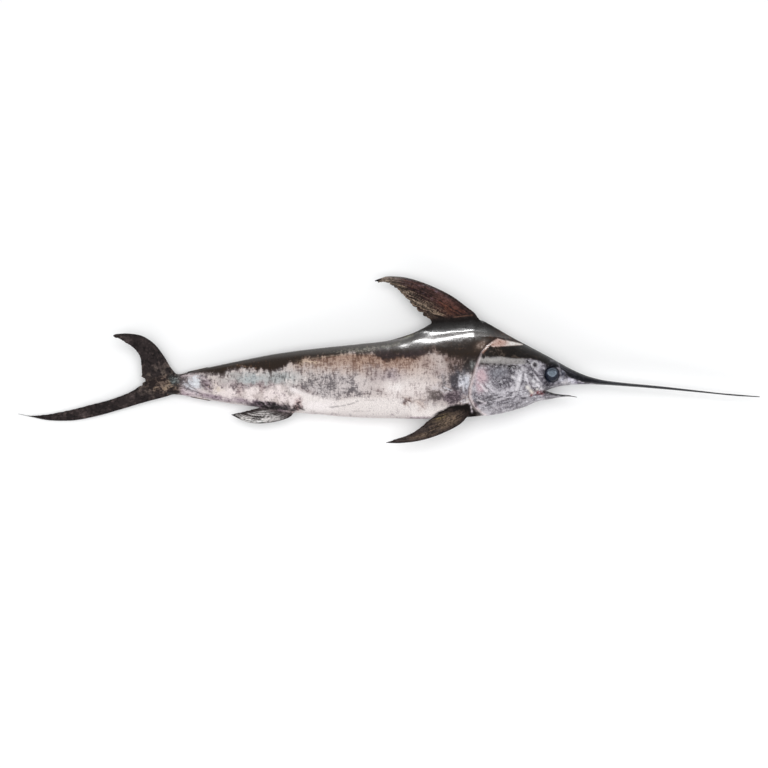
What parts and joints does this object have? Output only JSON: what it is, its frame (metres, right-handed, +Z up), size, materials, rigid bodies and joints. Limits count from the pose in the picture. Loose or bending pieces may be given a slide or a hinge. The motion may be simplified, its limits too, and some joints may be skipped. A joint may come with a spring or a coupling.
{
  "type": "swordfish",
  "caption": "Life-size still swordfish lying on its left side, with long flat bill, slightly open mouth, swept first dorsal fin and sickle tail.",
  "frame": {"origin": "middle of the outline in plan, on the floor", "axes": "+X to the head and bill, +Y to the fish's back, +Z up from the floor to its right side"},
  "size_m": [2.728, 0.6098, 0.1922],
  "materials": {
    "flank": "wet silver-white skin with brown mottling",
    "head": "wet scuffed silver-grey skin",
    "bill": "dark brown-black, semi-gloss",
    "peduncle": "wet silver and brown skin",
    "fin": "brown-black fin skin, semi-gloss",
    "dorsal_fin": "maroon-brown fin skin with rays",
    "eye": "dark blue, glossy, with a clouded pupil"
  },
  "bodies": {
    "root": {"anal_fin_first": "fin", "anal_fin_second": "fin", "bill": "bill", "caudal_fin_lower": "fin", "caudal_fin_upper": "fin", "caudal_peduncle": "peduncle", "dorsal_fin_first": "dorsal_fin", "dorsal_fin_second": "fin", "eye_left": "eye", "eye_right": "eye", "gill_cover_left": "head", "gill_cover_right": "head", "head": "head", "keel_left": "peduncle", "keel_right": "peduncle", "lower_jaw": "head", "pectoral_fin_left": "fin", "pectoral_fin_right": "fin", "trunk_front": "flank", "trunk_mid": "flank", "trunk_rear": "flank"}
  },
  "joints": []
}
